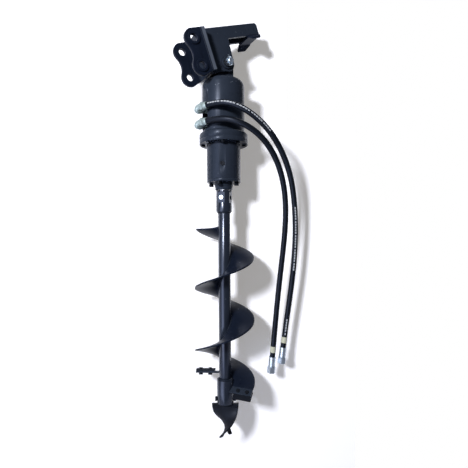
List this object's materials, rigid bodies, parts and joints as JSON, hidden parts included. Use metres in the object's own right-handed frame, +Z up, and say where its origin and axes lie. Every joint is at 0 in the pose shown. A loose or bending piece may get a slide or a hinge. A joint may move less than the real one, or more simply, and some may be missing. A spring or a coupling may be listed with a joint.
{
  "type": "earth auger drive",
  "caption": "Hydraulic planetary earth drill that swings in an excavator cradle hitch, with a helical auger, bolted teeth, fishtail pilot and two hoses",
  "frame": {"origin": "centre of the upper (dipper) pin bore, midway between the two ears", "axes": "+Z up with the drive hanging, Y along the excavator pins and the swing pivot, X from the ears towards the tip of the cradle arm"},
  "size_m": [0.4994, 0.3102, 1.758],
  "materials": {
    "satin_black_paint": "satin black paint with a slight blue cast",
    "zinc_plated_steel": "bright zinc plate",
    "black_fastener_steel": "black oxide",
    "blackened_tooth_steel": "thin black paint on forged steel",
    "hardened_gear_steel": "ground and oiled",
    "bearing_steel": "ground bright",
    "cast_motor_iron": "black painted casting",
    "bronze_bush": "turned bronze",
    "seal_rubber": "moulded",
    "hose_rubber": "matt black cover"
  },
  "bodies": {
    "hitch": {"ear_plate_front": "satin_black_paint", "ear_plate_rear": "satin_black_paint", "dipper_pin_bosses": "satin_black_paint", "link_pin_bosses": "satin_black_paint", "base_plate": "satin_black_paint", "side_plate_front": "satin_black_paint", "side_plate_rear": "satin_black_paint", "arm_roof": "satin_black_paint", "cradle_saddle": "satin_black_paint", "pivot_bosses": "satin_black_paint", "pivot_washers": "black_fastener_steel", "pivot_bolt": "zinc_plated_steel", "castle_nut": "zinc_plated_steel", "split_pin": "zinc_plated_steel"},
    "drive": {"hanger_lug": "satin_black_paint", "pivot_bush": "bronze_bush", "motor_hood": "satin_black_paint", "hood_flange": "satin_black_paint", "flange_bolts": "black_fastener_steel", "gear_case": "satin_black_paint", "oil_plug": "black_fastener_steel", "end_cap": "satin_black_paint", "seal_carrier": "satin_black_paint", "shaft_seal": "seal_rubber", "lower_bearing": "bearing_steel", "upper_bearing": "bearing_steel", "cap_bolts": "black_fastener_steel", "ring_gear": "hardened_gear_steel", "motor_adaptor": "cast_motor_iron", "hydraulic_motor": "cast_motor_iron", "motor_bolts": "black_fastener_steel", "port_stems": "zinc_plated_steel", "port_elbows": "zinc_plated_steel", "swivel_nuts": "zinc_plated_steel", "hose_ferrules": "zinc_plated_steel", "hose_upper": "hose_rubber", "hose_lower": "hose_rubber", "hose_end_ferrules": "zinc_plated_steel", "hose_end_nuts": "zinc_plated_steel"},
    "auger": {"output_shaft": "hardened_gear_steel", "planet_pins": "hardened_gear_steel", "auger_hub": "satin_black_paint", "hub_pin": "zinc_plated_steel", "auger_tube": "satin_black_paint", "auger_flight": "satin_black_paint", "main_tooth_holder": "satin_black_paint", "main_tooth": "blackened_tooth_steel", "second_tooth_holder": "satin_black_paint", "second_tooth": "blackened_tooth_steel", "tooth_bolts": "black_fastener_steel", "tooth_nuts": "black_fastener_steel", "pilot_socket": "satin_black_paint", "pilot_point": "blackened_tooth_steel", "pilot_bolt": "black_fastener_steel", "pilot_nut": "black_fastener_steel"},
    "sun": {"sun_gear": "hardened_gear_steel"},
    "planet_1": {"planet_gear_1": "hardened_gear_steel"},
    "planet_2": {"planet_gear_2": "hardened_gear_steel"},
    "planet_3": {"planet_gear_3": "hardened_gear_steel"}
  },
  "joints": [
    {"name": "drive_swing", "type": "hinge", "parent": "hitch", "child": "drive", "pos_m": [0.1607, 0, -0.05236], "axis": [0, -1, 0], "range_deg": [-4, 109]},
    {"name": "auger_spin", "type": "hinge", "parent": "drive", "child": "auger", "pos_m": [0.1607, 0, -0.5], "axis": [0, 0, 1], "continuous": true},
    {"name": "sun_spin", "type": "hinge", "parent": "drive", "child": "sun", "pos_m": [0.1607, 0, -0.4], "axis": [0, 0, 1], "continuous": true},
    {"name": "planet_1_spin", "type": "hinge", "parent": "auger", "child": "planet_1", "pos_m": [0.19445, 0, -0.447], "axis": [0, 0, 1], "continuous": true},
    {"name": "planet_2_spin", "type": "hinge", "parent": "auger", "child": "planet_2", "pos_m": [0.14382, 0.02923, -0.447], "axis": [0, 0, 1], "continuous": true},
    {"name": "planet_3_spin", "type": "hinge", "parent": "auger", "child": "planet_3", "pos_m": [0.14382, -0.02923, -0.447], "axis": [0, 0, 1], "continuous": true}
  ],
  "couplings": [
    {"joint": "sun_spin", "follows": "auger_spin", "ratio": 4.5},
    {"joint": "planet_1_spin", "follows": "auger_spin", "ratio": -2.8},
    {"joint": "planet_2_spin", "follows": "auger_spin", "ratio": -2.8},
    {"joint": "planet_3_spin", "follows": "auger_spin", "ratio": -2.8}
  ]
}
